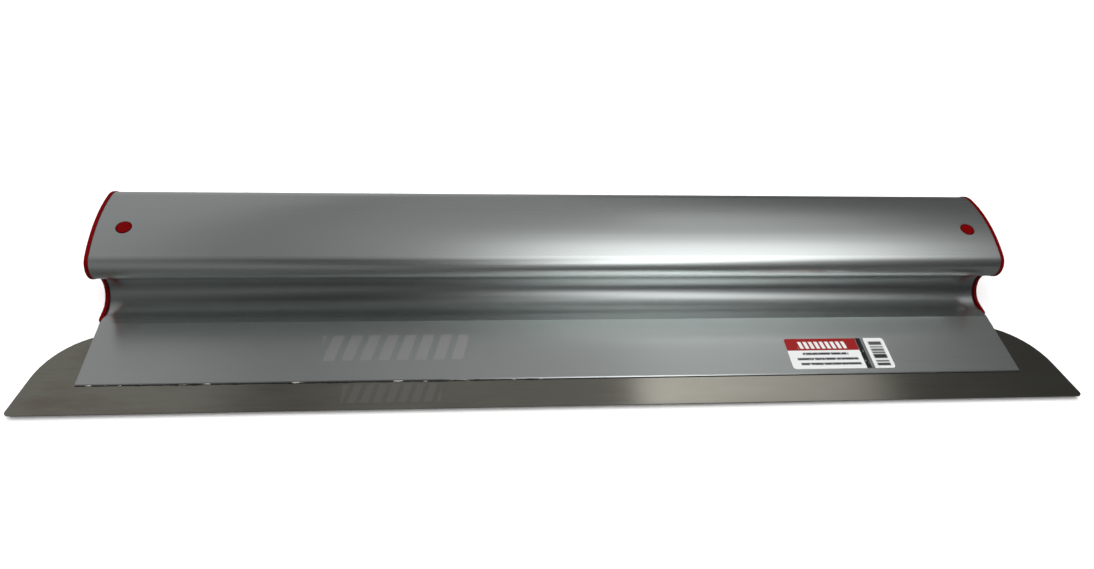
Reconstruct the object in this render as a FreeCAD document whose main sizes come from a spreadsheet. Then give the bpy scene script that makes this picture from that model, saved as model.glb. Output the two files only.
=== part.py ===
import FreeCAD, Part
import math
import os
import Sketcher

# A hand-held skimming blade for plaster and drywall compound. A hollow aluminium profile is both
# handle and blade holder: a plate with a slot along its lower edge, a finger groove, and a grip bulb
# that hooks forward over the groove. A spring steel blade is bonded into the slot, a moulded cap closes
# each end, and each cap is held by a sprung latch whose button stands in a hole of the grip.
#
# The tool lies on its flat back. +X runs along the blade. Sections are drawn with two names:
#   rise, along +Y, from the lip of the plate towards the top of the grip;
#   out, along +Z, from the flat back towards the user's hand.
# Every body is then shifted along Y, so that the origin is under the middle of the tool.

DIMENSIONS = {
    # profile
    "profile_length": 549,
    "wall": 1.6,
    "lip_thick": 4.2,
    "lip_break": 0.4,
    "slot_low": 2.6,
    "slot_high": 3.4,
    "slot_deep": 39.0,
    "facet_rise": 44.5,
    "facet_out": 6.1,
    "groove_rise": 56.9,
    "groove_radius": 12,
    "nose_rise": 64.9,
    "nose_radius": 9,
    "crown_rise": 97.0,
    "crown_peak": 50.4,
    "crown_radius": 94,
    "corner_radius": 15.5,
    "back_radius": 24.0,
    "grip_top": 124.4,
    "floor_fillet": 1.5,
    # blade
    "blade_length": 609.0,
    "blade_thick": 0.5,
    "blade_edge": 19.6,
    "blade_top": 38.5,
    "ear_radius": 41.3,
    "ear_centre_along": 259.5,
    "ear_centre_below": 1.7,
    "tip_radius": 2.5,
    # adhesive
    "bead_reach": 0.8,
    "bead_rise": 0.75,
    "bead_near": 8,
    "bead_far": 272,
    # end caps
    "flange_thick": 2.4,
    "flange_proud": 0.3,
    "flange_groove_radius": 11.2,
    "flange_end": 48.6,
    "flange_tip_radius": 1.4,
    "flange_tip_out": 3.6,
    "flange_edge": 0.8,
    "plug_gap": 0.15,
    "plug_wall": 1.8,
    "plug_deep": 32.0,
    "rib_thick": 1.5,
    "rib_deep": 28.0,
    "rib_one_rise": 96.0,
    "rib_two_rise": 111.0,
    # latches
    "latch_tilt": 10.0,
    "button_from_end": 15.3,
    "button_radius": 4.15,
    "hole_radius": 4.6,
    "button_proud": 0.25,
    "button_break": 0.4,
    "tongue_deep": 1.95,
    "tongue_thick": 1.6,
    "tongue_width": 11.6,
    "tongue_tip": 29.0,
    "window_start": 3.0,
    "window_gap": 0.4,
    "hinge_gap": 0.15,
    # label
    "label_length": 64,
    "label_width": 23.6,
    "label_thick": 0.15,
    "label_corner": 2.0,
    "label_along": 164.8,
    "label_rise": 15.2,
}


class Size:
    """A length that knows both its value and the sheet formula it comes from."""

    def __init__(self, value, text):
        self.value = value
        self.text = text

    def _join(self, other, sign, value):
        return Size(value, f"({self.text} {sign} {as_size(other).text})")

    def __add__(self, other):
        return self._join(other, "+", self.value + as_size(other).value)

    def __sub__(self, other):
        return self._join(other, "-", self.value - as_size(other).value)

    def __mul__(self, other):
        return self._join(other, "*", self.value * as_size(other).value)

    def __truediv__(self, other):
        return self._join(other, "/", self.value / as_size(other).value)

    def __neg__(self):
        return Size(-self.value, f"(-1 * {self.text})")


def as_size(number):
    return number if isinstance(number, Size) else Size(float(number), str(float(number)))


def cell(alias):
    return Size(float(sheet.get(alias)), f"dims.{alias}")


def root(size):
    return Size(math.sqrt(size.value), f"sqrt({size.text})")


def sine(degrees):
    return Size(math.sin(math.radians(degrees.value)), f"sin({degrees.text})")


def cosine(degrees):
    return Size(math.cos(math.radians(degrees.value)), f"cos({degrees.text})")


# ---------------------------------------------------------------- document, sheet and bodies

doc = FreeCAD.newDocument("skimming_blade")
sheet = doc.addObject("Spreadsheet::Sheet", "dims")
for row, (alias, number) in enumerate(DIMENSIONS.items(), start=1):
    sheet.set(f"A{row}", alias)
    sheet.set(f"B{row}", str(number))
    sheet.setAlias(f"B{row}", alias)
doc.recompute()

tool_top = cell("grip_top") + cell("flange_proud")
frame_shift = (tool_top - cell("blade_edge")) / 2
half_length = cell("profile_length") / 2
crown_centre_out = cell("crown_peak") - cell("crown_radius")
lip_middle = (cell("slot_low") + cell("slot_high")) / 2


def bind(thing, path, size):
    """Set a property through a sheet formula."""
    thing.setExpression(path, size.text)


def place(body, along=0, rise=0, out=0, tilt=None):
    """Bind a body's Placement, given in the section's own rise and out."""
    bind(body, "Placement.Base.x", as_size(along))
    bind(body, "Placement.Base.y", as_size(rise) - frame_shift)
    bind(body, "Placement.Base.z", as_size(out))
    if tilt is not None:
        body.Placement.Rotation = FreeCAD.Rotation(FreeCAD.Vector(1, 0, 0), tilt.value)
        bind(body, "Placement.Rotation.Angle", tilt)


def new_body(name):
    body = doc.addObject("PartDesign::Body", name)
    body.Label = name
    return body


def new_sketch(body, name, plane, along=None, rise=None, out=None, tilt=None):
    """A sketch on one of its body's origin planes, moved off it by up to three bound offsets."""
    sketch = body.newObject("Sketcher::SketchObject", name)
    support = [feature for feature in body.Origin.OriginFeatures if feature.Role == plane][0]
    sketch.AttachmentSupport = [(support, "")]
    sketch.MapMode = "FlatFace"
    for axis, size in (("x", along), ("y", rise), ("z", out)):
        if size is not None:
            bind(sketch, f"AttachmentOffset.Base.{axis}", size)
    if tilt is not None:
        sketch.AttachmentOffset = FreeCAD.Placement(
            FreeCAD.Vector(0, 0, 0), FreeCAD.Rotation(FreeCAD.Vector(1, 0, 0), tilt.value))
        bind(sketch, "AttachmentOffset.Rotation.Angle", tilt)
    return sketch


# ---------------------------------------------------------------- sketch outlines

START, END, CENTRE = 1, 2, 3
ORIGIN = -1


def line(start, end):
    return {"kind": "line", "start": start, "end": end}


def arc(centre, radius, start_angle, end_angle):
    """An arc travelled from start_angle to end_angle; a falling angle means clockwise."""
    return {"kind": "arc", "centre": centre, "radius": radius, "angles": (start_angle, end_angle)}


def heading(segment, at_end):
    """Direction of travel at one end of a segment, in degrees."""
    if segment["kind"] == "line":
        (x0, y0), (x1, y1) = segment["start"], segment["end"]
        return math.degrees(math.atan2(y1 - y0, x1 - x0))
    first, last = segment["angles"]
    turn = 90 if last > first else -90
    return (last if at_end else first) + turn


def draw(sketch, segments):
    """Draw a closed outline and join it up: smooth joints become tangent, the others coincident."""
    ids = []
    for segment in segments:
        if segment["kind"] == "line":
            start, end = (FreeCAD.Vector(*point, 0) for point in (segment["start"], segment["end"]))
            ids.append(sketch.addGeometry(Part.LineSegment(start, end)))
            segment["posts"] = (START, END)
            continue
        low, high = (math.radians(angle) for angle in sorted(segment["angles"]))
        circle = Part.Circle(FreeCAD.Vector(*segment["centre"], 0), FreeCAD.Vector(0, 0, 1), segment["radius"])
        ids.append(sketch.addGeometry(Part.ArcOfCircle(circle, low, high)))
        forward = segment["angles"][1] > segment["angles"][0]
        segment["posts"] = (START, END) if forward else (END, START)
    for here, segment in enumerate(segments):
        after = (here + 1) % len(segments)
        bend = heading(segments[after], False) - heading(segment, True)
        smooth = abs((bend + 180) % 360 - 180) < 0.01
        kind = "Tangent" if smooth else "Coincident"
        posts = (segment["posts"][1], segments[after]["posts"][0])
        sketch.addConstraint(Sketcher.Constraint(kind, ids[here], posts[0], ids[after], posts[1]))
    return ids


def fix_radius(sketch, item, size):
    number = sketch.addConstraint(Sketcher.Constraint("Radius", item, size.value))
    bind(sketch, f"Constraints[{number}]", size)


def fix_point(sketch, item, post, x=None, y=None):
    """Bind one or both coordinates of a point of the sketch."""
    for kind, size in (("DistanceX", x), ("DistanceY", y)):
        if size is None:
            continue
        if abs(size.value) < 1e-9:
            axis = -2 if kind == "DistanceX" else -1
            sketch.addConstraint(Sketcher.Constraint("PointOnObject", item, post, axis))
            continue
        if size.value < 0:
            ends = (item, post, ORIGIN, START)
            size = -size
        else:
            ends = (ORIGIN, START, item, post)
        number = sketch.addConstraint(Sketcher.Constraint(kind, *ends, size.value))
        bind(sketch, f"Constraints[{number}]", size)


def grip_geometry(inset, floor):
    """Centres, radii and joint angles of the grip's outline, moved inwards by inset above its floor."""
    value = {name: cell(name).value for name in DIMENSIONS}
    crown = (value["crown_rise"], crown_centre_out.value)
    corner_reach = value["crown_radius"] - value["corner_radius"]
    corner_rise = value["grip_top"] - value["corner_radius"]
    corner = (corner_rise, crown[1] + math.sqrt(corner_reach**2 - (corner_rise - crown[0])**2))
    back_radius = value["back_radius"] - inset
    nose_reach = value["crown_radius"] - value["nose_radius"]
    nose = (value["nose_rise"], crown[1] + math.sqrt(nose_reach**2 - (value["nose_rise"] - crown[0])**2))
    return {
        "back": ((value["grip_top"] - value["back_radius"], back_radius + floor), back_radius),
        "corner": (corner, value["corner_radius"] - inset),
        "crown": (crown, value["crown_radius"] - inset),
        "nose": (nose, value["nose_radius"] - inset),
        "corner_angle": math.degrees(math.atan2(corner[1] - crown[1], corner[0] - crown[0])),
        "nose_angle": math.degrees(math.atan2(nose[1] - crown[1], nose[0] - crown[0])),
        "top": value["grip_top"] - inset,
    }


def groove_geometry(nose, nose_radius, radius):
    """Centre of a groove that joins the nose smoothly, and the angle on the nose where they meet."""
    rise = cell("groove_rise").value
    reach = nose_radius + radius
    centre = (rise, nose[1] - math.sqrt(reach**2 - (nose[0] - rise)**2))
    return centre, 360 + math.degrees(math.atan2(centre[1] - nose[1], centre[0] - nose[0]))


def grip_arcs(grip, nose_end_angle):
    """The grip's outline from the end of its back line, over the top, to the end of its nose."""
    (back, back_radius), (corner, corner_radius) = grip["back"], grip["corner"]
    return [
        arc(back, back_radius, -90, 0),
        line((grip["top"], back[1]), (grip["top"], corner[1])),
        arc(corner, corner_radius, 0, grip["corner_angle"]),
        arc(*grip["crown"], grip["corner_angle"], grip["nose_angle"]),
        arc(*grip["nose"], grip["nose_angle"], nose_end_angle),
    ]


def fix_grip(sketch, ids, inset):
    """Bind the grip's five segments; their other sizes follow from tangency."""
    back, end, corner, crown, nose = ids
    fix_radius(sketch, back, cell("back_radius") - inset)
    fix_radius(sketch, corner, cell("corner_radius") - inset)
    fix_radius(sketch, crown, cell("crown_radius") - inset)
    fix_radius(sketch, nose, cell("nose_radius") - inset)
    sketch.addConstraint(Sketcher.Constraint("Vertical", end))
    fix_point(sketch, end, START, x=cell("grip_top") - inset)
    fix_point(sketch, crown, CENTRE, x=cell("crown_rise"), y=crown_centre_out)
    fix_point(sketch, nose, CENTRE, x=cell("nose_rise"))


def draw_hollow(sketch, inset):
    """The closed outline of the grip's inside, moved inwards by inset from its outside."""
    grip = grip_geometry(inset.value, inset.value)
    groove_radius = cell("groove_radius") + inset
    groove, nose_end = groove_geometry(*grip["nose"], groove_radius.value)
    fillet_radius = cell("floor_fillet")
    fillet_out = inset.value + fillet_radius.value
    reach = groove_radius.value + fillet_radius.value
    fillet = (groove[0] + math.sqrt(reach**2 - (groove[1] - fillet_out)**2), fillet_out)
    joint_angle = math.degrees(math.atan2(fillet[1] - groove[1], fillet[0] - groove[0]))
    back_end = grip["back"][0][0]
    ids = draw(sketch, [
        line((fillet[0], inset.value), (back_end, inset.value)),
        *grip_arcs(grip, nose_end),
        arc(groove, groove_radius.value, nose_end - 180, joint_angle),
        arc(fillet, fillet_radius.value, 180 + joint_angle, 270),
    ])
    floor, (groove_id, fillet_id) = ids[0], ids[6:]
    sketch.addConstraint(Sketcher.Constraint("Horizontal", floor))
    fix_point(sketch, floor, START, y=inset)
    fix_grip(sketch, ids[1:6], inset)
    fix_radius(sketch, groove_id, groove_radius)
    fix_point(sketch, groove_id, CENTRE, x=cell("groove_rise"))
    fix_radius(sketch, fillet_id, fillet_radius)


def fix_rectangle(sketch, ids, low, high):
    """Bind a rectangle drawn as bottom, right, top, left."""
    for side, kind in zip(ids, ("Horizontal", "Vertical", "Horizontal", "Vertical")):
        sketch.addConstraint(Sketcher.Constraint(kind, side))
    fix_point(sketch, ids[0], START, *low)
    fix_point(sketch, ids[2], START, *high)


def draw_rectangle(sketch, low, high):
    (x0, y0), (x1, y1) = ((x.value, y.value) for x, y in (low, high))
    corners = [(x0, y0), (x1, y0), (x1, y1), (x0, y1)]
    ids = draw(sketch, [line(corners[here], corners[(here + 1) % 4]) for here in range(4)])
    fix_rectangle(sketch, ids, low, high)


def draw_circle(sketch, x, y, radius):
    circle = Part.Circle(FreeCAD.Vector(x.value, y.value, 0), FreeCAD.Vector(0, 0, 1), radius.value)
    item = sketch.addGeometry(circle)
    fix_radius(sketch, item, radius)
    fix_point(sketch, item, CENTRE, x, y)


# ---------------------------------------------------------------- features

def pad(body, sketch, name, length, symmetric=False, backwards=False):
    feature = body.newObject("PartDesign::Pad", name)
    feature.Profile = sketch
    feature.SideType = "Symmetric" if symmetric else "One side"
    feature.Reversed = backwards
    bind(feature, "Length", length)
    doc.recompute()
    return feature


def pocket(body, sketch, name, length, symmetric=False, backwards=False):
    before = body.Shape.Volume
    feature = body.newObject("PartDesign::Pocket", name)
    feature.Profile = sketch
    feature.SideType = "Symmetric" if symmetric else "One side"
    feature.Reversed = backwards
    bind(feature, "Length", length)
    doc.recompute()
    if body.Shape.Volume > before - 1.0:
        raise RuntimeError(f"{name} removed nothing")
    return feature


# ---------------------------------------------------------------- handle profile

def draw_profile(sketch):
    """The profile's outside: lip, slot, two flat facets, finger groove and grip."""
    grip = grip_geometry(0, 0)
    groove_radius = cell("groove_radius").value
    groove, nose_end = groove_geometry(*grip["nose"], groove_radius)
    lip, edge = cell("lip_thick").value, cell("lip_break").value
    low, high, deep = (cell(name).value for name in ("slot_low", "slot_high", "slot_deep"))
    facet = (cell("facet_rise").value, cell("facet_out").value)
    # The upper facet runs from its corner onto the groove's arc without a break.
    across, down = facet[0] - groove[0], facet[1] - groove[1]
    turn = math.atan2(down, across) + math.acos(groove_radius / math.hypot(across, down))
    groove_start = (groove[0] + groove_radius * math.cos(turn), groove[1] + groove_radius * math.sin(turn))
    corners = [
        groove_start, facet, (edge, lip), (0, lip - edge),
        (0, high), (deep, high), (deep, low), (0, low), (0, edge), (edge, 0),
    ]
    ids = draw(sketch, [
        line(corners[-1], (grip["back"][0][0], 0)),
        *grip_arcs(grip, nose_end),
        arc(groove, groove_radius, nose_end - 180, math.degrees(turn)),
        *(line(*ends) for ends in zip(corners, corners[1:])),
    ])
    fix_grip(sketch, ids[1:6], as_size(0))
    fix_radius(sketch, ids[6], cell("groove_radius"))
    fix_point(sketch, ids[6], CENTRE, x=cell("groove_rise"))
    sizes = [
        (cell("facet_rise"), cell("facet_out")),
        (cell("lip_break"), cell("lip_thick")),
        (as_size(0), cell("lip_thick") - cell("lip_break")),
        (as_size(0), cell("slot_high")),
        (cell("slot_deep"), cell("slot_high")),
        (cell("slot_deep"), cell("slot_low")),
        (as_size(0), cell("slot_low")),
        (as_size(0), cell("lip_break")),
        (cell("lip_break"), as_size(0)),
    ]
    for item, (x, y) in zip(ids[7:], sizes):
        fix_point(sketch, item, END, x, y)
    sketch.addConstraint(Sketcher.Constraint("Horizontal", ids[0]))


def button_rise():
    return cell("crown_rise") - cell("crown_radius") * sine(cell("latch_tilt"))


def button_out():
    return crown_centre_out + cell("crown_radius") * cosine(cell("latch_tilt"))


def make_handle():
    body = new_body("handle_extrusion")
    section = new_sketch(body, "profile_section", "YZ_Plane")
    draw_profile(section)
    draw_hollow(section, cell("wall"))
    pad(body, section, "extrude_profile", cell("profile_length"), symmetric=True)
    drill = new_sketch(body, "latch_hole_centres", "XY_Plane", rise=button_rise(), out=button_out(),
                       tilt=cell("latch_tilt"))
    for side in (-1, 1):
        along = (half_length - cell("button_from_end")) * side
        draw_circle(drill, along, as_size(0), cell("hole_radius"))
    pocket(body, drill, "drill_latch_holes", cell("wall") * 4, symmetric=True)
    place(body)
    return body


# ---------------------------------------------------------------- blade and its bond

def make_blade():
    """A flat strip: straight working edge, two swept ears and small rounded tips."""
    body = new_body("blade")
    sketch = new_sketch(body, "blade_outline", "XY_Plane")
    edge, top = -cell("blade_edge").value, cell("blade_top").value
    centre_x, centre_y = cell("ear_centre_along").value, -cell("ear_centre_below").value
    radius, tip = cell("ear_radius").value, cell("tip_radius").value
    top_angle = math.degrees(math.asin((top - centre_y) / radius))
    top_x = centre_x + radius * math.cos(math.radians(top_angle))
    tip_x, tip_y = cell("blade_length").value / 2 - tip, edge + tip
    # The ear's straight flank is the outer common tangent of the ear's arc and the tip's arc.
    across, down = tip_x - centre_x, tip_y - centre_y
    lean = math.acos((radius - tip) / math.hypot(across, down))
    turn = math.degrees(math.atan2(down, across) + lean)
    cos_turn, sin_turn = math.cos(math.radians(turn)), math.sin(math.radians(turn))
    shoulder = (centre_x + radius * cos_turn, centre_y + radius * sin_turn)
    flank = (tip_x + tip * cos_turn, tip_y + tip * sin_turn)

    def mirror(point):
        return (-point[0], point[1])

    ids = draw(sketch, [
        line((-tip_x, edge), (tip_x, edge)),
        arc((tip_x, tip_y), tip, -90, turn),
        line(flank, shoulder),
        arc((centre_x, centre_y), radius, turn, top_angle),
        line((top_x, top), (-top_x, top)),
        arc((-centre_x, centre_y), radius, 180 - top_angle, 180 - turn),
        line(mirror(shoulder), mirror(flank)),
        arc((-tip_x, tip_y), tip, 180 - turn, 270),
    ])
    bottom, right_tip, _, right_ear, upper, left_ear, _, left_tip = ids
    for item in (bottom, upper):
        sketch.addConstraint(Sketcher.Constraint("Horizontal", item))
    fix_point(sketch, bottom, START, y=-cell("blade_edge"))
    fix_point(sketch, upper, START, y=cell("blade_top"))
    tip_centre = cell("blade_length") / 2 - cell("tip_radius")
    for side, ear, tip_arc in ((1, right_ear, right_tip), (-1, left_ear, left_tip)):
        fix_radius(sketch, ear, cell("ear_radius"))
        fix_radius(sketch, tip_arc, cell("tip_radius"))
        fix_point(sketch, ear, CENTRE, x=cell("ear_centre_along") * side, y=-cell("ear_centre_below"))
        fix_point(sketch, tip_arc, CENTRE, x=tip_centre * side)
    pad(body, sketch, "stamp_blade", cell("blade_thick"), symmetric=True)
    place(body, out=lip_middle)
    return body


def make_adhesive(name, low, high, bead):
    """A bond layer as deep as the blade; the front one also has a bead along the lip."""
    body = new_body(name)
    layer = new_sketch(body, name + "_section", "YZ_Plane")
    draw_rectangle(layer, (as_size(0), low), (cell("blade_top"), high))
    pad(body, layer, name + "_layer", cell("profile_length"), symmetric=True)
    if bead:
        ridge = new_sketch(body, name + "_bead_section", "YZ_Plane", out=-cell("bead_near"))
        reach, tall = -cell("bead_reach"), low + cell("bead_rise")
        ids = draw(ridge, [
            line((reach.value, low.value), (0, low.value)),
            line((0, low.value), (0, tall.value)),
            line((0, tall.value), (reach.value, low.value)),
        ])
        ridge.addConstraint(Sketcher.Constraint("Horizontal", ids[0]))
        fix_point(ridge, ids[0], START, reach, low)
        fix_point(ridge, ids[1], START, x=as_size(0))
        fix_point(ridge, ids[1], END, as_size(0), tall)
        pad(body, ridge, name + "_bead", cell("bead_far") - cell("bead_near"), backwards=True)
    place(body)
    return body


# ---------------------------------------------------------------- end caps

def draw_flange(sketch):
    """The flange follows the grip, stands proud of it all round and rounds off the groove."""
    grip = grip_geometry(-cell("flange_proud").value, 0)
    groove_radius = cell("flange_groove_radius").value
    groove, nose_end = groove_geometry(*grip["nose"], groove_radius)
    end, tip_radius = cell("flange_end").value, cell("flange_tip_radius").value
    tip = (end + tip_radius, cell("flange_tip_out").value)
    # The floor line is the inner common tangent of the groove's arc and the tip's arc.
    across, down = tip[0] - groove[0], tip[1] - groove[1]
    centres = math.degrees(math.atan2(down, across))
    lean = math.degrees(math.acos((groove_radius + tip_radius) / math.hypot(across, down)))
    floor_angle = centres + lean
    along = (math.cos(math.radians(floor_angle)), math.sin(math.radians(floor_angle)))
    floor_start = (groove[0] + groove_radius * along[0], groove[1] + groove_radius * along[1])
    floor_end = (tip[0] - tip_radius * along[0], tip[1] - tip_radius * along[1])
    ids = draw(sketch, [
        line((end, 0), (grip["back"][0][0], 0)),
        *grip_arcs(grip, nose_end),
        arc(groove, groove_radius, nose_end - 180, floor_angle),
        line(floor_start, floor_end),
        arc(tip, tip_radius, 180 + floor_angle, 180),
        line((end, tip[1]), (end, 0)),
    ])
    back_line, (groove_id, _, tip_id, end_line) = ids[0], ids[6:]
    sketch.addConstraint(Sketcher.Constraint("Horizontal", back_line))
    fix_point(sketch, back_line, START, y=as_size(0))
    fix_grip(sketch, ids[1:6], -cell("flange_proud"))
    fix_radius(sketch, groove_id, cell("flange_groove_radius"))
    fix_point(sketch, groove_id, CENTRE, x=cell("groove_rise"))
    sketch.addConstraint(Sketcher.Constraint("Vertical", end_line))
    fix_point(sketch, end_line, END, x=cell("flange_end"))
    fix_radius(sketch, tip_id, cell("flange_tip_radius"))
    fix_point(sketch, tip_id, CENTRE, y=cell("flange_tip_out"))


def make_end_cap(name, side):
    """Flange outside the profile, hollow plug inside it, with a window for the latch tongue."""
    body = new_body(name)
    face = half_length * side
    flange = new_sketch(body, name + "_flange_outline", "YZ_Plane", out=face)
    draw_flange(flange)
    pad(body, flange, name + "_flange", cell("flange_thick"), backwards=side < 0)
    plug = new_sketch(body, name + "_plug_section", "YZ_Plane", out=face)
    plug_inset = cell("wall") + cell("plug_gap")
    draw_hollow(plug, plug_inset)
    draw_hollow(plug, plug_inset + cell("plug_wall"))
    pad(body, plug, name + "_plug", cell("plug_deep"), backwards=side > 0)
    ribs = new_sketch(body, name + "_rib_section", "YZ_Plane", out=face)
    mid_wall = plug_inset + cell("plug_wall") / 2
    for rise in (cell("rib_one_rise"), cell("rib_two_rise")):
        low = rise - cell("rib_thick") / 2
        high = rise + cell("rib_thick") / 2
        draw_rectangle(ribs, (low, rib_start_out(high, mid_wall)), (high, rib_end_out(high, mid_wall)))
    pad(body, ribs, name + "_ribs", cell("rib_deep"), backwards=side > 0)
    round_flange(body, name, side)
    window = new_sketch(body, name + "_latch_window_outline", "XY_Plane", rise=button_rise(), out=button_out(),
                        tilt=cell("latch_tilt"))
    half_width = cell("tongue_width") / 2 + cell("window_gap")
    near = (half_length - cell("window_start")) * side
    far = (half_length - cell("plug_deep") - 1) * side
    low, high = (far, near) if side > 0 else (near, far)
    draw_rectangle(window, (low, -half_width), (high, half_width))
    pocket(body, window, name + "_latch_window", cell("wall") * 6, symmetric=True)
    place(body)
    return body


def round_flange(body, name, side):
    """Round the rim of the flange's outer face."""
    outside = (half_length + cell("flange_thick")).value * side
    solid = body.Tip
    rim = [f"Edge{number}" for number, edge in enumerate(solid.Shape.Edges, start=1)
           if abs(edge.BoundBox.XMin - outside) < 0.01 and abs(edge.BoundBox.XMax - outside) < 0.01]
    rounding = body.newObject("PartDesign::Fillet", name + "_rim")
    rounding.Base = (solid, rim)
    bind(rounding, "Radius", cell("flange_edge"))
    doc.recompute()


def rib_start_out(rise, inset):
    """How far out the back wall is at this rise, inset from its outside."""
    offset = rise - (cell("grip_top") - cell("back_radius"))
    if offset.value < 0:
        return inset
    radius = cell("back_radius") - inset
    return cell("back_radius") - root(radius * radius - offset * offset)


def rib_end_out(rise, inset):
    """How far out the crown is at this rise, inset from its outside."""
    radius = cell("crown_radius") - inset
    offset = rise - cell("crown_rise")
    return crown_centre_out + root(radius * radius - offset * offset)


# ---------------------------------------------------------------- latches

def make_latch(name, side):
    """A tongue that swings about its rounded root, with the button near its middle.

    It is drawn about its own hinge axis: +X to the tongue's tip, +Z out through the hole.
    """
    body = new_body(name)
    half_thick = cell("tongue_thick") / 2
    reach = cell("tongue_tip") - hinge_from_end()
    profile = new_sketch(body, name + "_side_outline", "XZ_Plane")
    radius = half_thick.value
    ids = draw(profile, [
        arc((0, 0), radius, 90, 270),
        line((0, -radius), (reach.value, -radius)),
        line((reach.value, -radius), (reach.value, radius)),
        line((reach.value, radius), (0, radius)),
    ])
    barrel, lower, tip, upper = ids
    fix_radius(profile, barrel, half_thick)
    fix_point(profile, barrel, CENTRE, as_size(0), as_size(0))
    for item in (lower, upper):
        profile.addConstraint(Sketcher.Constraint("Horizontal", item))
    profile.addConstraint(Sketcher.Constraint("Vertical", tip))
    fix_point(profile, tip, END, x=reach)
    pad(body, profile, name + "_tongue", cell("tongue_width"), symmetric=True)
    boss = new_sketch(body, name + "_button_outline", "XY_Plane")
    arm = cell("button_from_end") - hinge_from_end()
    draw_circle(boss, arm, as_size(0), cell("button_radius"))
    height = cell("tongue_deep") + half_thick + cell("button_proud")
    button = pad(body, boss, name + "_button", height)
    rim = [f"Edge{number}" for number, edge in enumerate(button.Shape.Edges, start=1)
           if edge.BoundBox.ZMin > height.value - 0.01 and isinstance(edge.Curve, Part.Circle)]
    breaks = body.newObject("PartDesign::Fillet", name + "_button_edge")
    breaks.Base = (button, rim)
    bind(breaks, "Radius", cell("button_break"))
    tilt = cell("latch_tilt")
    hinge_radius = cell("crown_radius") - cell("tongue_deep") - half_thick
    bind(body, "Placement.Base.x", (half_length - hinge_from_end()) * side)
    bind(body, "Placement.Base.y", cell("crown_rise") - hinge_radius * sine(tilt) - frame_shift)
    bind(body, "Placement.Base.z", crown_centre_out + hinge_radius * cosine(tilt))
    lean = FreeCAD.Rotation(FreeCAD.Vector(1, 0, 0), tilt.value)
    turn = FreeCAD.Rotation(FreeCAD.Vector(0, 0, 1), 180 if side > 0 else 0)
    body.Placement.Rotation = lean.multiply(turn)
    return body


def hinge_from_end():
    """Distance from the profile's end to the latch's hinge axis."""
    return cell("window_start") + cell("hinge_gap") + cell("tongue_thick") / 2


# ---------------------------------------------------------------- label

def make_label():
    """A sticker on the plate's lower facet."""
    body = new_body("retail_label")
    sketch = new_sketch(body, "label_outline", "XY_Plane")
    corner = cell("label_corner").value
    x, y = cell("label_length").value / 2, cell("label_width").value / 2
    inner_x, inner_y = x - corner, y - corner
    ids = draw(sketch, [
        line((-inner_x, -y), (inner_x, -y)), arc((inner_x, -inner_y), corner, -90, 0),
        line((x, -inner_y), (x, inner_y)), arc((inner_x, inner_y), corner, 0, 90),
        line((inner_x, y), (-inner_x, y)), arc((-inner_x, inner_y), corner, 90, 180),
        line((-x, inner_y), (-x, -inner_y)), arc((-inner_x, -inner_y), corner, 180, 270),
    ])
    for item in (ids[0], ids[4]):
        sketch.addConstraint(Sketcher.Constraint("Horizontal", item))
    for item in (ids[2], ids[6]):
        sketch.addConstraint(Sketcher.Constraint("Vertical", item))
    for item in ids[1::2]:
        fix_radius(sketch, item, cell("label_corner"))
    half_x, half_y = cell("label_length") / 2, cell("label_width") / 2
    fix_point(sketch, ids[0], START, y=-half_y)
    fix_point(sketch, ids[4], START, y=half_y)
    fix_point(sketch, ids[2], START, x=half_x)
    fix_point(sketch, ids[6], START, x=-half_x)
    pad(body, sketch, "label_film", cell("label_thick"))
    drop = (cell("lip_thick") - cell("facet_out")) / (cell("facet_rise") - cell("lip_break"))
    out = cell("lip_thick") - drop * (cell("label_rise") - cell("lip_break"))
    place(body, along=cell("label_along"), rise=cell("label_rise"), out=out)
    slope = -math.degrees(math.atan(drop.value))
    body.Placement.Rotation = FreeCAD.Rotation(FreeCAD.Vector(1, 0, 0), slope)
    return body


# ---------------------------------------------------------------- assembly and export

half_blade = cell("blade_thick") / 2
parts = [
    make_handle(),
    make_blade(),
    make_adhesive("front_adhesive", lip_middle + half_blade, cell("slot_high"), bead=True),
    make_adhesive("back_adhesive", cell("slot_low"), lip_middle - half_blade, bead=False),
]
for word, sign in (("left", -1), ("right", 1)):
    parts.append(make_end_cap(word + "_end_cap", sign))
    parts.append(make_latch(word + "_latch", sign))
parts.append(make_label())
doc.recompute()

for item in doc.Objects:
    if {"Invalid", "Error"} & set(item.State):
        raise RuntimeError(f"{item.Label} failed: {item.State}")
    if item.isDerivedFrom("Sketcher::SketchObject") and not item.FullyConstrained:
        raise RuntimeError(f"{item.Label} is not fully constrained")
for part in parts:
    if part.Shape.isNull() or not part.Shape.isValid() or len(part.Shape.Solids) != 1:
        raise RuntimeError(f"{part.Label} is not one valid solid")

os.makedirs("parts", exist_ok=True)
for part in parts:
    part.Shape.exportStep(os.path.join("parts", part.Label + ".step"))
    box = part.Shape.BoundBox
    print(f"{part.Label}: {part.Shape.Volume:.0f} mm3, x {box.XMin:.2f} {box.XMax:.2f}, "
          f"y {box.YMin:.2f} {box.YMax:.2f}, z {box.ZMin:.2f} {box.ZMax:.2f}")
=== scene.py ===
import math
import random

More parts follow.
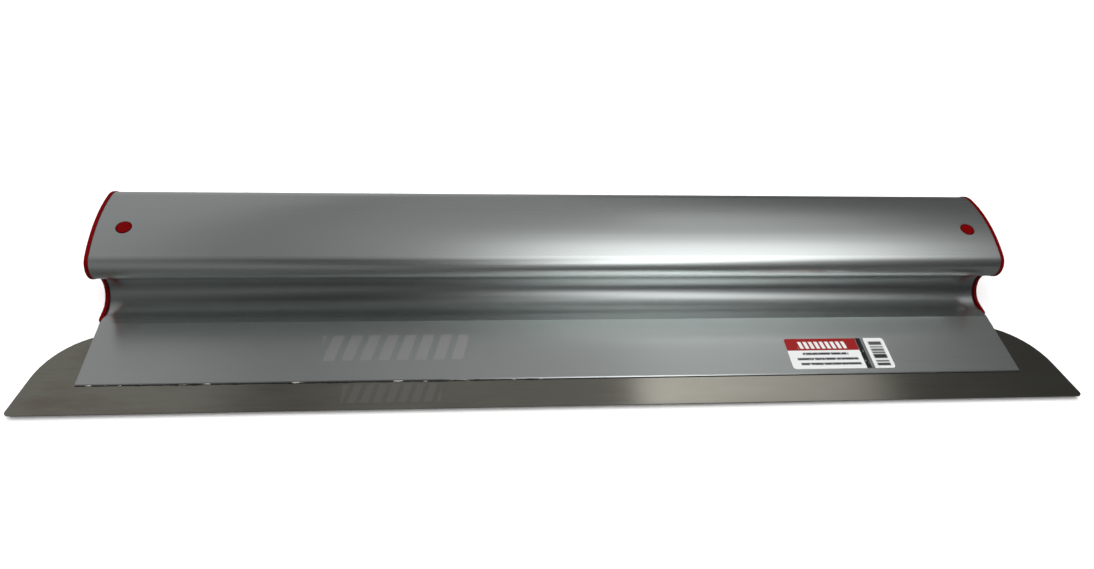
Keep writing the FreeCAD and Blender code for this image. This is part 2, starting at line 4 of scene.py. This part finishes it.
import bmesh
import bpy
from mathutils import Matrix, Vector


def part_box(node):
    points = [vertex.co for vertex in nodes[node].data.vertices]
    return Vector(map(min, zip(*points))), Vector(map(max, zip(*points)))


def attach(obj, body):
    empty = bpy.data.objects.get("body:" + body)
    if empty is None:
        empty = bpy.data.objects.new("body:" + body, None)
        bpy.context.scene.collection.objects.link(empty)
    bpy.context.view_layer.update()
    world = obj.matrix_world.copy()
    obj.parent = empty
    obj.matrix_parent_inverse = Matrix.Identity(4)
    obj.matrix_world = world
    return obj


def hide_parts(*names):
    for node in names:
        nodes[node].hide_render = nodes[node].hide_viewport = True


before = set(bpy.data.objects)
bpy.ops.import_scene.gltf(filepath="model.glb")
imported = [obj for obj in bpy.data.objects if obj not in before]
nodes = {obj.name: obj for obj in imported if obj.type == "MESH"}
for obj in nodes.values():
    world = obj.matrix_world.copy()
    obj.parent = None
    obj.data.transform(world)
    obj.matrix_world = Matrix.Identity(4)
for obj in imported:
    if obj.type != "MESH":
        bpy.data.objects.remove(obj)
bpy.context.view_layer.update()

# A skimming blade lying on its flat back. The blade runs along X, the lip of its handle is on the -Y
# side and the rounded grip on the +Y side, and Z points out of the back towards the user's hand.

handle_low, handle_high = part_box("handle_extrusion")
label_low, label_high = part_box("retail_label")
bond_low, bond_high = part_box("front_adhesive")
LIP_Y = handle_low.y

WHITE = (1.0, 1.0, 1.0, 1.0)


# ---------------------------------------------------------------- node trees

class Graph:
    """Short calls for building a node tree."""

    def __init__(self, tree):
        self.tree = tree
        tree.nodes.clear()

    def add(self, kind, inputs=None, **settings):
        node = self.tree.nodes.new(kind)
        for name, value in settings.items():
            setattr(node, name, value)
        for name, value in (inputs or {}).items():
            self.feed(node.inputs[name], value)
        return node

    def feed(self, socket, value):
        if isinstance(value, bpy.types.NodeSocket):
            self.tree.links.new(value, socket)
        else:
            socket.default_value = value

    def maths(self, operation, first, second=0.0, third=0.0):
        node = self.add("ShaderNodeMath", {0: first, 1: second, 2: third}, operation=operation)
        return node.outputs[0]

    def multiply(self, first, *others):
        for other in others:
            first = self.maths("MULTIPLY", first, other)
        return first

    def spread(self, value, low, high, new_low=0.0, new_high=1.0):
        """The value carried from the range low to high over to a new range, and held at its ends."""
        inputs = {"Value": value, "From Min": low, "From Max": high, "To Min": new_low, "To Max": new_high}
        return self.add("ShaderNodeMapRange", inputs).outputs["Result"]

    def fall(self, value, low, high):
        """1 below low, 0 above high."""
        return self.spread(value, low, high, 1.0, 0.0)

    def between(self, share, low, high):
        """Low where the share is 0, high where it is 1."""
        return self.spread(share, 0.0, 1.0, low, high)

    def mix(self, factor, first, second):
        node = self.add("ShaderNodeMix", data_type="RGBA")
        for socket, value in ((node.inputs[0], factor), (node.inputs[6], first), (node.inputs[7], second)):
            self.feed(socket, value)
        return node.outputs[2]

    def ramp(self, value, stops):
        """A soft ramp of greys, given as pairs of position and brightness."""
        node = self.add("ShaderNodeValToRGB", {"Fac": value})
        elements = node.color_ramp.elements
        node.color_ramp.interpolation = "EASE"
        while len(elements) < len(stops):
            elements.new(0.5)
        for element, (position, grey) in zip(elements, stops):
            element.position = position
            element.color = (grey, grey, grey, 1.0)
        return node.outputs["Color"]

    def band(self, value, low, high, soft):
        """1 between low and high, fading to 0 over soft to each side of both."""
        rise = self.spread(value, low - soft, low + soft)
        return self.multiply(rise, self.fall(value, high - soft, high + soft))

    def panel(self, first, second, across, away, soft, strength=1.0):
        """A soft-edged rectangle over two values."""
        one, other = self.band(first, *across, soft[0]), self.band(second, *away, soft[1])
        return self.multiply(one, other, strength)

    def where(self):
        """The object's own place in metres."""
        return self.add("ShaderNodeTexCoord").outputs["Object"]

    def place(self):
        """The object's own X, Y and Z in metres."""
        return self.add("ShaderNodeSeparateXYZ", {"Vector": self.where()}).outputs

    def noise(self, scales, detail=2.0, roughness=0.5):
        """Noise over the object's own metres, with a scale for each axis."""
        mapped = self.add("ShaderNodeMapping", {"Vector": self.where(), "Scale": scales}).outputs["Vector"]
        inputs = {"Vector": mapped, "Scale": 1.0, "Detail": detail, "Roughness": roughness}
        return self.add("ShaderNodeTexNoise", inputs).outputs["Fac"]


def new_material(name):
    material = bpy.data.materials.new(name)
    material.use_nodes = True
    graph = Graph(material.node_tree)
    shader = graph.add("ShaderNodeBsdfPrincipled")
    output = graph.add("ShaderNodeOutputMaterial")
    graph.tree.links.new(shader.outputs[0], output.inputs["Surface"])
    return material, graph, shader


def new_object(name, data):
    item = bpy.data.objects.new(name, data)
    bpy.context.scene.collection.objects.link(item)
    return item


# ---------------------------------------------------------------- camera and light

CAMERA_AT = (-0.0648, -0.3503, 0.3597)
CAMERA_TURN = (46.297, -3.615, -4.192)
CAMERA_LENS = 26.501
CAMERA_SHIFT = (0.0077, 0.0057)
CAMERA_NEAR = 0.01

FILL_AT = (-0.3, 0.1, 2.2)
FILL_TOWARDS = (0.0, 0.1, 0.0)
FILL_SIZE = (3.4, 3.4)
FILL_STRENGTH = 2.4


def make_camera():
    camera = new_object("camera", bpy.data.cameras.new("camera"))
    camera.location = CAMERA_AT
    camera.rotation_euler = [math.radians(angle) for angle in CAMERA_TURN]
    camera.data.lens = CAMERA_LENS
    camera.data.shift_x, camera.data.shift_y = CAMERA_SHIFT
    camera.data.clip_start = CAMERA_NEAR
    bpy.context.scene.camera = camera


def make_fill():
    """A wide soft light overhead that the metal doesn't mirror; strength is the brightness of its face."""
    data = bpy.data.lights.new("fill", "AREA")
    data.shape = "RECTANGLE"
    data.size, data.size_y = FILL_SIZE
    data.energy = FILL_STRENGTH * math.pi * FILL_SIZE[0] * FILL_SIZE[1]
    light = new_object("fill", data)
    light.location = FILL_AT
    aim = Vector(FILL_TOWARDS) - Vector(FILL_AT)
    light.rotation_euler = aim.to_track_quat("-Z", "Y").to_euler()
    light.visible_glossy = False


# The room that the metal mirrors. Its parts are placed by the slope of a direction: across is X over Z
# and away is Y over Z, so away is negative in front of the tool and positive behind it. A slope is worked
# out with a Z of at least LEAST_Z, and the room fades in between a Z of 0 and ROOM_Z.
LEAST_Z = 0.02
ROOM_Z = 0.1
SOFTBOX = {"across": (0.09, 0.57), "away": (-0.38, 0.27), "soft": (0.10, 0.12), "strength": 1.6}
FRONT_STRIP = {"across": (0.17, 0.53), "away": (-1.9, -0.38), "soft": (0.10, 0.12), "strength": 1.5}
FRONT_LAMP = {"across": (0.27, 0.44), "away": (-1.9, -0.38), "soft": (0.08, 0.12), "strength": 1.4}
LOW_GLOW = {"across": (0.25, 1.30), "away": (-14.0, -1.95), "soft": (0.25, 0.15), "strength": 0.32}
WINDOW = {"across": (0.285, 0.70), "away": (0.755, 0.875), "soft": (0.015, 0.02), "strength": 1.15}
WINDOW_FAR_SIDE = 0.35

# The walls' greys, by where the slope across is between the two of WALL_SLOPES. The front wall changes
# to the one behind over the slopes away of WALL_CHANGE.
WALL_SLOPES = (-1.0, 1.5)
BEHIND_WALL = [(0.16, 0.31), (0.23, 0.31), (0.29, 0.15), (0.35, 0.24), (0.44, 0.24), (0.55, 0.24),
               (0.64, 0.20), (0.72, 0.10), (0.80, 0.07)]
FRONT_WALL = [(0.1, 0.19), (0.22, 0.14), (0.30, 0.03), (0.8, 0.02)]
WALL_CHANGE = (-0.38, -0.15)

# Below a Z of 0, the grey by the direction's own Y, and the one behind is only to the left by its X.
BELOW_FRONT = (0.10, 0.10, 0.10, 1.0)
BELOW_BEHIND = (0.42, 0.42, 0.42, 1.0)
BELOW_CHANGE = (0.0, 0.5)
BELOW_RIGHT_EDGE = (0.05, 0.35)


def make_world():
    """A softbox overhead, lamps in front and a window behind, between grey walls, for the metal to mirror."""
    world = bpy.data.worlds.new("studio")
    bpy.context.scene.world = world
    world.use_nodes = True
    graph = Graph(world.node_tree)
    direction = graph.add("ShaderNodeTexCoord").outputs["Generated"]
    parts = graph.add("ShaderNodeSeparateXYZ", {"Vector": direction}).outputs
    height = graph.maths("MAXIMUM", parts["Z"], LEAST_Z)
    across = graph.maths("DIVIDE", parts["X"], height)
    away = graph.maths("DIVIDE", parts["Y"], height)

    along_wall = graph.spread(across, *WALL_SLOPES)
    walls = graph.mix(graph.spread(away, *WALL_CHANGE), graph.ramp(along_wall, FRONT_WALL),
                      graph.ramp(along_wall, BEHIND_WALL))
    lamps = graph.panel(across, away, **SOFTBOX)
    for lamp in (FRONT_STRIP, FRONT_LAMP, LOW_GLOW):
        lamps = graph.maths("ADD", lamps, graph.panel(across, away, **lamp))
    fading = graph.spread(across, *WINDOW["across"], 1.0, WINDOW_FAR_SIDE)
    window = graph.multiply(graph.panel(across, away, **WINDOW), fading)
    room = graph.add("ShaderNodeVectorMath", {0: walls, 1: graph.maths("ADD", lamps, window)}).outputs[0]

    rear = graph.multiply(graph.spread(parts["Y"], *BELOW_CHANGE), graph.fall(parts["X"], *BELOW_RIGHT_EDGE))
    below = graph.mix(rear, BELOW_FRONT, BELOW_BEHIND)
    studio = graph.mix(graph.spread(parts["Z"], 0.0, ROOM_Z), below, room)
    background = graph.add("ShaderNodeBackground", {"Color": studio})
    output = graph.add("ShaderNodeOutputWorld")
    graph.tree.links.new(background.outputs[0], output.inputs["Surface"])


# ---------------------------------------------------------------- floor and backdrop

PALE = (0.9, 0.9, 0.9, 1.0)
FLOOR_SIZE = 6.0
FLOOR_GAP = 0.0003
FLOOR_ROUGHNESS = 0.9
FLOOR_SHINE = 0.1
FLOOR_LIFT_FROM, FLOOR_LIFT_TO = 0.6, 1.5
FLOOR_GLOW_NEAR, FLOOR_GLOW_FAR = 0.1, 0.6

BACKDROP_RADIUS = 1.5
BACKDROP_REACH = 1.0
BACKDROP_TALL = 1.6
BACKDROP_STEPS = 16
BACKDROP_SIDES = 96
BACKDROP_GLOW = 1.0


def make_floor():
    """A matt pale floor that gets lighter far out, where the fill light gets weaker."""
    half = FLOOR_SIZE / 2
    corners = [(-half, -half), (half, -half), (half, half), (-half, half)]
    mesh = bpy.data.meshes.new("floor")
    mesh.from_pydata([(x, y, -FLOOR_GAP) for x, y in corners], [], [(0, 1, 2, 3)])
    floor = new_object("floor", mesh)
    material, graph, shader = new_material("pale_floor")
    shader.inputs["Base Color"].default_value = PALE
    shader.inputs["Roughness"].default_value = FLOOR_ROUGHNESS
    shader.inputs["Specular IOR Level"].default_value = FLOOR_SHINE
    shader.inputs["Emission Color"].default_value = WHITE
    distance = graph.add("ShaderNodeVectorMath", {0: graph.where()}, operation="LENGTH").outputs["Value"]
    glow = graph.spread(distance, FLOOR_LIFT_FROM, FLOOR_LIFT_TO, FLOOR_GLOW_NEAR, FLOOR_GLOW_FAR)
    graph.feed(shader.inputs["Emission Strength"], glow)
    mesh.materials.append(material)
    floor.visible_glossy = False


def make_backdrop():
    """A white bowl around the floor. Only the camera sees it, so it neither lights nor shades the tool."""
    profile = bmesh.new()
    for step in range(BACKDROP_STEPS + 1):
        angle = math.pi / 2 * step / BACKDROP_STEPS
        radius = BACKDROP_RADIUS + BACKDROP_REACH * math.sin(angle)
        profile.verts.new((radius, 0.0, BACKDROP_TALL * (1 - math.cos(angle)) - FLOOR_GAP))
    profile.verts.ensure_lookup_table()
    for first, second in zip(profile.verts[:-1], profile.verts[1:]):
        profile.edges.new((first, second))
    bmesh.ops.spin(profile, geom=profile.verts[:] + profile.edges[:], axis=(0, 0, 1), cent=(0, 0, 0),
                   dvec=(0, 0, 0), angle=math.tau, steps=BACKDROP_SIDES, use_merge=True)
    mesh = bpy.data.meshes.new("backdrop")
    profile.to_mesh(mesh)
    profile.free()
    backdrop = new_object("backdrop", mesh)
    material, _, shader = new_material("backdrop_paper")
    shader.inputs["Base Color"].default_value = PALE
    shader.inputs["Emission Color"].default_value = WHITE
    shader.inputs["Emission Strength"].default_value = BACKDROP_GLOW
    mesh.materials.append(material)
    backdrop.visible_diffuse = False
    backdrop.visible_glossy = False
    backdrop.visible_shadow = False


# ---------------------------------------------------------------- metals

# Nearly all of a noise lies between these two values.
NOISE_LOW, NOISE_HIGH = 0.3, 0.7
FINE_DISTANCE = 0.0001

# An etched mark is a patch of slanted strokes between two corners, low and high, given as X and Y. The
# edges of a stroke are soft over MARK_STROKE, as shares of the pitch.
MARK_LEAN = -0.25
MARK_EDGE = (0.0002, 0.0002)
MARK_STROKE = (0.16, 0.22)
PLATE_MARK = {"low": (-0.1455, LIP_Y + 0.0145), "high": (-0.0605, LIP_Y + 0.0335), "pitch": 0.0105}
BLADE_MARK = {"low": (-0.131, LIP_Y - 0.0150), "high": (-0.076, LIP_Y - 0.0020), "pitch": 0.0070}

ALUMINIUM_DULL = (0.695, 0.735, 0.725, 1.0)
ALUMINIUM_BRIGHT = (0.705, 0.745, 0.735, 1.0)
ALUMINIUM_PAINTED_SHADE = (0.41, 0.44, 0.435, 1.0)
ALUMINIUM_MARK = (0.79, 0.79, 0.78, 1.0)
ALUMINIUM_METALLIC = (0.998, 0.985)
ALUMINIUM_ROUGHNESS = (0.273, 0.278)
ALUMINIUM_MARK_ROUGHER = 0.04
ALUMINIUM_ANISOTROPY = 0.6
ALUMINIUM_BUMP = 0.002
DRAW_LINES_FINE = (1.2, 1500.0, 1500.0)
DRAW_LINES_BROAD = (0.8, 130.0, 130.0)
BROAD_SHARE = 0.5

# Painted shade deep in the finger groove, where the grip's nose hides the room: where the recess starts and
# ends as distances behind the lip, and its top as a height above the back.
RECESS_START = (0.0575, 0.0635)
RECESS_END = (0.0693, 0.0697)
RECESS_TOP = (0.0145, 0.0200)

STEEL_DULL = (0.37, 0.363, 0.31, 1.0)
STEEL_BRIGHT = (0.42, 0.413, 0.36, 1.0)
STEEL_STAIN = (0.335, 0.295, 0.25, 1.0)
STEEL_MARK = (0.43, 0.42, 0.39, 1.0)
STEEL_METALLIC = (0.999, 0.992)
STEEL_ROUGHNESS = (0.10, 0.14)
STEEL_MARK_ROUGHER = 0.06
STEEL_BUMP = 0.03
BRUSH_LINES = (14.0, 2400.0, 2400.0)
STAIN_PATCHES = (30.0, 90.0, 90.0)
STAIN_RANGE = (0.42, 0.68)
STAIN_FROM, STAIN_TO = -0.30, 0.0
STAIN_LEFT, STAIN_RIGHT = 0.85, 0.3


def bump(graph, shader, height, strength, distance=FINE_DISTANCE):
    node = graph.add("ShaderNodeBump", {"Height": height, "Strength": strength, "Distance": distance})
    graph.feed(shader.inputs["Normal"], node.outputs["Normal"])


def etched_mark(graph, low, high, pitch):
    """1 on the slanted strokes of a patch, 0 elsewhere."""
    place = graph.place()
    along = graph.maths("MULTIPLY_ADD", place["Y"], MARK_LEAN, place["X"])
    wave = graph.maths("PINGPONG", along, pitch / 2)
    stroke = graph.spread(wave, pitch * MARK_STROKE[0], pitch * MARK_STROKE[1])
    patch = graph.panel(place["X"], place["Y"], (low[0], high[0]), (low[1], high[1]), MARK_EDGE)
    return graph.multiply(stroke, patch)


def groove_painted_shade(graph):
    """Where shade is painted: 1 deep in the finger groove, 0 on the plate and on the grip."""
    place = graph.place()
    rise = graph.maths("SUBTRACT", place["Y"], LIP_Y)
    return graph.multiply(graph.spread(rise, *RECESS_START), graph.fall(rise, *RECESS_END),
                          graph.fall(place["Z"], *RECESS_TOP))


def anodised_aluminium():
    """Satin grey metal, very faintly streaked along its length, with a matt etched mark on the plate and
    painted shade deep in the finger groove.
    """
    material, graph, shader = new_material("anodised_aluminium")
    fine = graph.noise(DRAW_LINES_FINE)
    broad = graph.noise(DRAW_LINES_BROAD)
    lines = graph.maths("MULTIPLY_ADD", broad, BROAD_SHARE, graph.multiply(fine, 1.0 - BROAD_SHARE))
    streaks = graph.spread(lines, NOISE_LOW, NOISE_HIGH)
    mark = etched_mark(graph, **PLATE_MARK)
    metal = graph.mix(streaks, ALUMINIUM_DULL, ALUMINIUM_BRIGHT)
    # Painted shade: the metal's colour is darkened deep in the finger groove.
    metal = graph.mix(groove_painted_shade(graph), metal, ALUMINIUM_PAINTED_SHADE)
    graph.feed(shader.inputs["Base Color"], graph.mix(mark, metal, ALUMINIUM_MARK))
    graph.feed(shader.inputs["Metallic"], graph.between(mark, *ALUMINIUM_METALLIC))
    shader.inputs["Anisotropic"].default_value = ALUMINIUM_ANISOTROPY
    tangent = graph.add("ShaderNodeTangent", direction_type="RADIAL", axis="X")
    graph.feed(shader.inputs["Tangent"], tangent.outputs[0])
    satin = graph.between(streaks, *ALUMINIUM_ROUGHNESS)
    rough = graph.maths("MULTIPLY_ADD", mark, ALUMINIUM_MARK_ROUGHER, satin)
    graph.feed(shader.inputs["Roughness"], rough)
    bump(graph, shader, fine, ALUMINIUM_BUMP)
    return material


def spring_steel():
    """Bare ground steel, brushed along its length, stained more to the left, with an etched mark."""
    material, graph, shader = new_material("spring_steel")
    brush = graph.noise(BRUSH_LINES, detail=3.0, roughness=0.6)
    stain = graph.noise(STAIN_PATCHES, detail=5.0, roughness=0.6)
    mark = etched_mark(graph, **BLADE_MARK)
    lines = graph.spread(brush, NOISE_LOW, NOISE_HIGH)
    clean = graph.mix(lines, STEEL_DULL, STEEL_BRIGHT)
    amount = graph.spread(graph.place()["X"], STAIN_FROM, STAIN_TO, STAIN_LEFT, STAIN_RIGHT)
    stained = graph.mix(graph.multiply(graph.spread(stain, *STAIN_RANGE), amount), clean, STEEL_STAIN)
    graph.feed(shader.inputs["Base Color"], graph.mix(mark, stained, STEEL_MARK))
    graph.feed(shader.inputs["Metallic"], graph.between(mark, *STEEL_METALLIC))
    ground = graph.between(lines, *STEEL_ROUGHNESS)
    graph.feed(shader.inputs["Roughness"], graph.maths("MULTIPLY_ADD", mark, STEEL_MARK_ROUGHER, ground))
    bump(graph, shader, brush, STEEL_BUMP)
    return material


# ---------------------------------------------------------------- plastic and glue

PLASTIC_DARK = (0.105, 0.0002, 0.0006, 1.0)
PLASTIC_LIGHT = (0.13, 0.0003, 0.0009, 1.0)
PLASTIC_GRAIN = (2600.0, 2600.0, 2600.0)
PLASTIC_FLOW = (60.0, 60.0, 60.0)
PLASTIC_ROUGHNESS = (0.40, 0.52)
PLASTIC_SHINE = 0.03
PLASTIC_BUMP = 0.1

GLUE_DARK = (0.006, 0.006, 0.007, 1.0)
GLUE_LIGHT = (0.02, 0.02, 0.02, 1.0)
GLUE_LUMPS = (300.0, 300.0, 300.0)
GLUE_ROUGHNESS = (0.25, 0.5)
GLUE_BUMP = 0.4
GLUE_BUMP_DISTANCE = 0.0003
DUST = (0.50, 0.47, 0.41, 1.0)
DUST_SPECKS = (160.0, 900.0, 900.0)
DUST_RANGE = (0.61, 0.65)
DUST_COVER = 0.9
DUST_END = (-0.03, -0.01)


def red_plastic():
    """Moulded plastic with a fine grain, nearly matt."""
    material, graph, shader = new_material("red_plastic")
    grain = graph.noise(PLASTIC_GRAIN)
    flow = graph.noise(PLASTIC_FLOW)
    graph.feed(shader.inputs["Base Color"], graph.mix(flow, PLASTIC_DARK, PLASTIC_LIGHT))
    graph.feed(shader.inputs["Roughness"], graph.spread(grain, NOISE_LOW, NOISE_HIGH, *PLASTIC_ROUGHNESS))
    shader.inputs["Specular IOR Level"].default_value = PLASTIC_SHINE
    bump(graph, shader, grain, PLASTIC_BUMP)
    return material


def cured_adhesive():
    """Near-black rubbery glue, with specks of dried compound on its left half."""
    material, graph, shader = new_material("cured_adhesive")
    lumps = graph.noise(GLUE_LUMPS, detail=3.0)
    glue = graph.mix(lumps, GLUE_DARK, GLUE_LIGHT)
    dust = graph.spread(graph.noise(DUST_SPECKS, detail=1.0), *DUST_RANGE, 0.0, DUST_COVER)
    dust = graph.multiply(dust, graph.fall(graph.place()["X"], *DUST_END))
    graph.feed(shader.inputs["Base Color"], graph.mix(dust, glue, DUST))
    graph.feed(shader.inputs["Roughness"], graph.spread(lumps, NOISE_LOW, NOISE_HIGH, *GLUE_ROUGHNESS))
    bump(graph, shader, lumps, GLUE_BUMP, GLUE_BUMP_DISTANCE)
    return material


# ---------------------------------------------------------------- label

PAPER_DARK = (0.60, 0.61, 0.605, 1.0)
PAPER_LIGHT = (0.66, 0.67, 0.665, 1.0)
HEADER_DARK = (0.20, 0.0006, 0.001, 1.0)
HEADER_LIGHT = (0.25, 0.001, 0.0015, 1.0)
CLEAR_FILM = (0.55, 0.56, 0.56, 1.0)
LINE_INK = (0.03, 0.03, 0.035, 1.0)
STRIPE_INK = (0.004, 0.004, 0.005, 1.0)
STRIPE_NICK = (0.5, 0.5, 0.5, 1.0)
LABEL_ROUGHNESS = (0.38, 0.46)
LABEL_BUMP = 0.03
LABEL_SPECKLE = (1500.0, 900.0, 900.0)
LABEL_WORDS = (620.0, 200.0, 200.0)
LABEL_WORD_RANGE = (0.34, 0.44)
LABEL_NICKS = (900.0, 500.0, 500.0)
LABEL_NICK_RANGE = (0.68, 0.72)
LABEL_NICK_COVER = 0.5

# Parts of the label, as shares of its length from the left and of its height from the top. A printed line
# has its two ends and its middle height.
LABEL_HEADER = ((0.0, 0.716), (0.0, 0.40))
LABEL_FIELD = ((0.0, 0.716), (0.40, 1.0))
LABEL_STRIPE = ((0.716, 0.768), (0.0, 1.0))
LABEL_CODE = ((0.797, 1.0), (0.0, 1.0))
LABEL_GAP = ((LABEL_STRIPE[0][1], LABEL_CODE[0][0]), (-0.1, 1.1))
LABEL_EMBLEM = ((0.115, 0.60), (0.11, 0.34))
EMBLEM_LEAN = -0.06
EMBLEM_HALF_PITCH = 0.027
EMBLEM_STROKE = (0.008, 0.012)
LABEL_LINES = [((0.14, 0.59), 0.51), ((0.07, 0.67), 0.68), ((0.09, 0.68), 0.84)]
LABEL_LINE_TALL = 0.075
LABEL_EDGE = 0.006
INK_EDGE = 0.016

# The bars of the code patch, each with its top, its bottom and its grey.
CODE_BARS = [(0.12, 0.24, 0.06), (0.28, 0.33, 0.14), (0.36, 0.44, 0.09), (0.46, 0.52, 0.07),
             (0.54, 0.68, 0.02), (0.74, 0.80, 0.10), (0.83, 0.92, 0.03)]
CODE_BARS_ALONG = (0.833, 0.964)


def label_film():
    """A printed sticker: red header with a plain emblem, ruled lines, a dark stripe and a patch of bars."""
    material, graph, shader = new_material("label_film")
    place = graph.place()
    along = graph.spread(place["X"], label_low.x, label_high.x)
    down = graph.fall(place["Y"], label_low.y, label_high.y)

    def area(across, tall, edge=LABEL_EDGE):
        return graph.panel(along, down, across, tall, (edge / 2, edge))

    speckle = graph.noise(LABEL_SPECKLE, detail=3.0)
    paper = graph.mix(speckle, PAPER_DARK, PAPER_LIGHT)
    header = graph.mix(speckle, HEADER_DARK, HEADER_LIGHT)
    colour = graph.mix(area(*LABEL_HEADER), CLEAR_FILM, header)
    colour = graph.mix(area(*LABEL_FIELD), colour, paper)

    slant = graph.maths("MULTIPLY_ADD", down, EMBLEM_LEAN, along)
    strokes = graph.spread(graph.maths("PINGPONG", slant, EMBLEM_HALF_PITCH), *EMBLEM_STROKE)
    colour = graph.mix(graph.multiply(area(*LABEL_EMBLEM), strokes), colour, paper)

    words = graph.spread(graph.noise(LABEL_WORDS, detail=4.0, roughness=0.7), *LABEL_WORD_RANGE)
    for across, middle in LABEL_LINES:
        tall = (middle - LABEL_LINE_TALL / 2, middle + LABEL_LINE_TALL / 2)
        colour = graph.mix(graph.multiply(area(across, tall, INK_EDGE), words), colour, LINE_INK)

    nicks = graph.spread(graph.noise(LABEL_NICKS, detail=1.0), *LABEL_NICK_RANGE, 0.0, LABEL_NICK_COVER)
    colour = graph.mix(area(*LABEL_STRIPE), colour, graph.mix(nicks, STRIPE_INK, STRIPE_NICK))
    colour = graph.mix(area(*LABEL_CODE), colour, paper)
    for top, bottom, grey in CODE_BARS:
        bar = area(CODE_BARS_ALONG, (top, bottom), INK_EDGE)
        colour = graph.mix(bar, colour, (grey, grey, grey, 1.0))

    graph.feed(shader.inputs["Base Color"], colour)
    graph.feed(shader.inputs["Metallic"], area(*LABEL_GAP))
    graph.feed(shader.inputs["Roughness"], graph.spread(speckle, NOISE_LOW, NOISE_HIGH, *LABEL_ROUGHNESS))
    bump(graph, shader, speckle, LABEL_BUMP)
    return material


# ---------------------------------------------------------------- adhesive bead

# A bond layer under the lip ends in a thin line of glue along all of it, and between BEAD_FROM and
# BEAD_TO the line swells into lumps that nearly fill the bond's own box.
LAYER_TALL = 0.00015
LINE_REACH = 0.00038
LINE_TALL = 0.00042
BEAD_FROM, BEAD_TO = -0.272, -0.008
BEAD_FADE = 0.012
BEAD_REACH_SHARE, BEAD_TALL_SHARE = 0.98, 0.9
BEAD_LUMP_POWER = 1.6
BEAD_SEED = 7
BEAD_STEP = 0.0006
BEAD_ROUND = 5

# The waves that make the glue uneven, each with its rate in radians per metre and its divisor.
BEAD_WAVES = [(90, 2.2), (230, 2.0), (610, 2.4), (1450, 3.0), (2900, 4.5)]


def clamp(value):
    return min(max(value, 0.0), 1.0)


def bead_sizes(along, waves):
    """How far the glue stands out of the lip, and how high, at one place along it."""
    height = sum(math.sin(along * rate + phase) / divisor for rate, divisor, phase in waves)
    lump = clamp(0.5 + 0.5 * height) ** BEAD_LUMP_POWER
    amount = lump * clamp(min(along - BEAD_FROM, BEAD_TO - along) / BEAD_FADE)
    most_reach = LIP_Y - bond_low.y
    most_tall = bond_high.z - bond_low.z
    reach = LINE_REACH + (most_reach - LINE_REACH) * amount * BEAD_REACH_SHARE
    tall = LINE_TALL + (most_tall - LINE_TALL) * amount * BEAD_TALL_SHARE
    return reach, tall


def bead_section(along, waves):
    """The corners of the bond layer and its rounded bead at one place along the lip."""
    reach, tall = bead_sizes(along, waves)
    layer_top = bond_low.z + LAYER_TALL
    corners = [(bond_high.y, bond_low.z), (bond_high.y, layer_top), (LIP_Y, layer_top)]
    for turn in range(BEAD_ROUND + 1):
        angle = math.pi / 2 * turn / BEAD_ROUND
        corners.append((LIP_Y - reach * math.sin(angle), bond_low.z + tall * math.cos(angle)))
    return [(along, y, z) for y, z in corners]


def make_bead(material):
    """The front bond layer, with the uneven glue that was pressed out along the lip."""
    random.seed(BEAD_SEED)
    waves = [(rate, divisor, random.uniform(0, math.tau)) for rate, divisor in BEAD_WAVES]
    mesh = bmesh.new()
    length = handle_high.x - handle_low.x
    count = round(length / BEAD_STEP)
    rings = []
    for number in range(count + 1):
        section = bead_section(handle_low.x + length * number / count, waves)
        rings.append([mesh.verts.new(corner) for corner in section])
    size = len(rings[0])
    for here, after in zip(rings, rings[1:]):
        for corner in range(size):
            follow = (corner + 1) % size
            mesh.faces.new((here[corner], here[follow], after[follow], after[corner]))
    mesh.faces.new(rings[0])
    mesh.faces.new(reversed(rings[-1]))
    bmesh.ops.recalc_face_normals(mesh, faces=mesh.faces)
    for face in mesh.faces:
        face.smooth = len(face.verts) == 4
    data = bpy.data.meshes.new("adhesive_bead")
    mesh.to_mesh(data)
    mesh.free()
    data.materials.append(material)
    bead = new_object("adhesive_bead", data)
    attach(bead, "handle")
    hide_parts("front_adhesive")


# ---------------------------------------------------------------- assembly

def dress(node, material):
    slots = nodes[node].data.materials
    slots.clear()
    slots.append(material)


make_camera()
make_world()
make_floor()
make_backdrop()
make_fill()

dress("handle_extrusion", anodised_aluminium())
dress("blade", spring_steel())
plastic = red_plastic()
for moulding in ("left_end_cap", "right_end_cap", "left_latch", "right_latch"):
    dress(moulding, plastic)
adhesive = cured_adhesive()
for layer in ("front_adhesive", "back_adhesive"):
    dress(layer, adhesive)
make_bead(adhesive)
dress("retail_label", label_film())

bpy.context.scene.view_settings.view_transform = "Standard"
